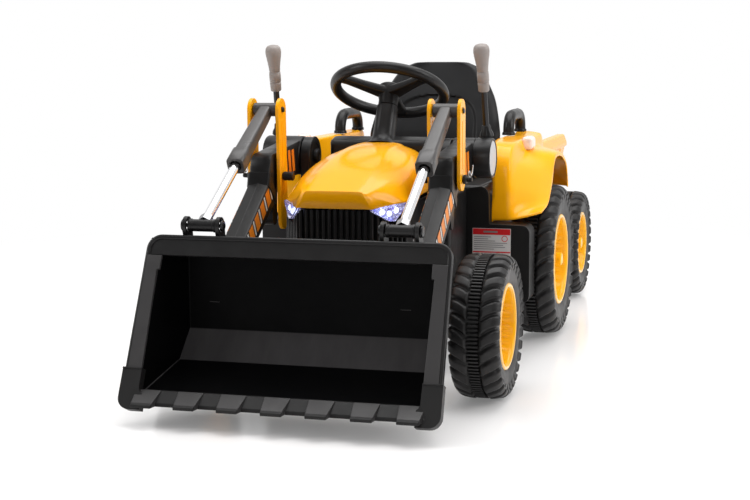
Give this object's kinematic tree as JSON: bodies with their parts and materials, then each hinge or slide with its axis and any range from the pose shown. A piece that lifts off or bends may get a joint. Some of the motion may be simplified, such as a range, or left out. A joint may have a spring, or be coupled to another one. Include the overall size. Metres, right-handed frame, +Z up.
{
  "type": "ride on digger",
  "caption": "Child's battery ride-on digger: tractor body with a front loader bucket on two lever-raised arms, steered front wheels and a towed tipping-gate trailer.",
  "frame": {"origin": "on the floor, at the centre of the bounding box of tractor and trailer", "axes": "+Z up; the front (bucket) faces -Y and the trailer is at +Y; +X is the vehicle's left side"},
  "size_m": [0.623, 1.69, 0.6044],
  "materials": {
    "body_plastic": "satin moulded, fine grain",
    "yellow_plastic": "gloss moulded",
    "tyre_plastic": "hard blow-moulded, soft sheen",
    "grip_plastic": "satin moulded",
    "steel": "plain steel bar",
    "chrome": "polished",
    "lens": "clear faceted plastic"
  },
  "bodies": {
    "chassis": {"lower_body": "body_plastic", "hood": "yellow_plastic", "steering_cowl": "body_plastic", "seat": "body_plastic", "fender_left": "yellow_plastic", "fender_right": "yellow_plastic", "grab_handle_left": "body_plastic", "grab_handle_right": "body_plastic", "front_axle_beam": "steel", "battery": "body_plastic", "gear_motor_left": "steel", "gear_motor_right": "steel", "rear_axle": "steel", "headlight_left": "lens", "headlight_right": "lens", "boom_pivot_pin_left": "steel", "boom_pivot_pin_right": "steel"},
    "steering": {"steering_wheel": "body_plastic", "steering_shaft": "steel"},
    "tie_rod": {"tie_rod": "steel"},
    "pedal": {"accelerator_pedal": "body_plastic"},
    "boom": {"boom_arm_left": "body_plastic", "boom_arm_right": "body_plastic", "lever_rod_left": "steel", "lever_rod_right": "steel", "lever_grip_left": "grip_plastic", "lever_grip_right": "grip_plastic", "link_plate_inner_left": "yellow_plastic", "link_plate_inner_right": "yellow_plastic", "link_plate_outer_left": "yellow_plastic", "link_plate_outer_right": "yellow_plastic", "cylinder_top_pin_left": "steel", "cylinder_top_pin_right": "steel", "knee_pin_left": "body_plastic", "knee_pin_right": "body_plastic"},
    "bucket": {"bucket_shell": "body_plastic", "bucket_lip": "body_plastic", "bucket_pivot_pin_left": "steel", "bucket_pivot_pin_right": "steel"},
    "trailer": {"trailer_frame": "body_plastic", "trailer_tub": "yellow_plastic"},
    "tailgate": {"trailer_tailgate": "yellow_plastic"},
    "knuckle_left": {"knuckle_left": "steel"},
    "front_wheel_left": {"front_tyre_left": "tyre_plastic", "front_rim_left": "yellow_plastic"},
    "rear_wheel_left": {"rear_tyre_left": "tyre_plastic", "rear_rim_left": "yellow_plastic"},
    "trailer_wheel_left": {"trailer_tyre_left": "tyre_plastic", "trailer_rim_left": "yellow_plastic"},
    "barrel_left": {"cylinder_barrel_left": "body_plastic"},
    "rod_left": {"cylinder_rod_left": "chrome"},
    "knuckle_right": {"knuckle_right": "steel"},
    "front_wheel_right": {"front_tyre_right": "tyre_plastic", "front_rim_right": "yellow_plastic"},
    "rear_wheel_right": {"rear_tyre_right": "tyre_plastic", "rear_rim_right": "yellow_plastic"},
    "trailer_wheel_right": {"trailer_tyre_right": "tyre_plastic", "trailer_rim_right": "yellow_plastic"},
    "barrel_right": {"cylinder_barrel_right": "body_plastic"},
    "rod_right": {"cylinder_rod_right": "chrome"}
  },
  "joints": [
    {"name": "steering", "type": "hinge", "parent": "chassis", "child": "steering", "pos_m": [0, -0.129, 0.515], "axis": [0, 0.4478, 0.8942], "range_deg": [-28, 28]},
    {"name": "tie_rod_slide", "type": "slide", "parent": "chassis", "child": "tie_rod", "axis": [1, 0, 0], "range_m": [-0.0165, 0.0165]},
    {"name": "pedal_press", "type": "hinge", "parent": "chassis", "child": "pedal", "pos_m": [-0.171, -0.262, 0.117], "axis": [1, 0, 0], "range_deg": [0, 12]},
    {"name": "boom_lift", "type": "hinge", "parent": "chassis", "child": "boom", "pos_m": [0, -0.212, 0.392], "axis": [-1, 0, 0], "range_deg": [0, 40]},
    {"name": "bucket_tilt", "type": "hinge", "parent": "boom", "child": "bucket", "pos_m": [0, -0.619, 0.19], "axis": [-1, 0, 0], "range_deg": [-17, 8]},
    {"name": "trailer_yaw", "type": "hinge", "parent": "chassis", "child": "trailer", "pos_m": [0, 0.338, 0.1945], "axis": [0, 0, 1], "range_deg": [-22, 22]},
    {"name": "tailgate_drop", "type": "hinge", "parent": "trailer", "child": "tailgate", "pos_m": [0, 0.842, 0.27], "axis": [-1, 0, 0], "range_deg": [0, 100]},
    {"name": "knuckle_turn_left", "type": "hinge", "parent": "chassis", "child": "knuckle_left", "pos_m": [0.19, -0.489, 0.125], "axis": [0, 0, 1], "range_deg": [-12.5, 12.5]},
    {"name": "front_wheel_spin_left", "type": "hinge", "parent": "knuckle_left", "child": "front_wheel_left", "pos_m": [0.2695, -0.489, 0.125], "axis": [1, 0, 0], "continuous": true},
    {"name": "rear_wheel_spin_left", "type": "hinge", "parent": "chassis", "child": "rear_wheel_left", "pos_m": [0.2625, 0.123, 0.157], "axis": [1, 0, 0], "continuous": true},
    {"name": "trailer_wheel_spin_left", "type": "hinge", "parent": "trailer", "child": "trailer_wheel_left", "pos_m": [0.2395, 0.64, 0.125], "axis": [1, 0, 0], "continuous": true},
    {"name": "cylinder_swing_left", "type": "hinge", "parent": "boom", "child": "barrel_left", "pos_m": [0.1695, -0.369, 0.487], "axis": [-1, 0, 0], "range_deg": [-1, 0.5]},
    {"name": "cylinder_slide_left", "type": "slide", "parent": "barrel_left", "child": "rod_left", "axis": [0, -0.8713, -0.4908], "range_m": [-0.0195, 0.0405]},
    {"name": "knuckle_turn_right", "type": "hinge", "parent": "chassis", "child": "knuckle_right", "pos_m": [-0.19, -0.489, 0.125], "axis": [0, 0, 1], "range_deg": [-12.5, 12.5]},
    {"name": "front_wheel_spin_right", "type": "hinge", "parent": "knuckle_right", "child": "front_wheel_right", "pos_m": [-0.2695, -0.489, 0.125], "axis": [1, 0, 0], "continuous": true},
    {"name": "rear_wheel_spin_right", "type": "hinge", "parent": "chassis", "child": "rear_wheel_right", "pos_m": [-0.2625, 0.123, 0.157], "axis": [1, 0, 0], "continuous": true},
    {"name": "trailer_wheel_spin_right", "type": "hinge", "parent": "trailer", "child": "trailer_wheel_right", "pos_m": [-0.2395, 0.64, 0.125], "axis": [1, 0, 0], "continuous": true},
    {"name": "cylinder_swing_right", "type": "hinge", "parent": "boom", "child": "barrel_right", "pos_m": [-0.1695, -0.369, 0.487], "axis": [-1, 0, 0], "range_deg": [-1, 0.5]},
    {"name": "cylinder_slide_right", "type": "slide", "parent": "barrel_right", "child": "rod_right", "axis": [0, -0.8713, -0.4908], "range_m": [-0.0195, 0.0405]}
  ],
  "couplings": [
    {"joint": "tie_rod_slide", "follows": "steering", "m_per_rad": -0.0326},
    {"joint": "knuckle_turn_left", "follows": "steering", "ratio": 0.4286},
    {"joint": "cylinder_swing_left", "follows": "bucket_tilt", "ratio": 0.056},
    {"joint": "cylinder_slide_left", "follows": "bucket_tilt", "m_per_rad": -0.1345},
    {"joint": "knuckle_turn_right", "follows": "steering", "ratio": 0.4286},
    {"joint": "cylinder_swing_right", "follows": "bucket_tilt", "ratio": 0.056},
    {"joint": "cylinder_slide_right", "follows": "bucket_tilt", "m_per_rad": -0.1345}
  ]
}
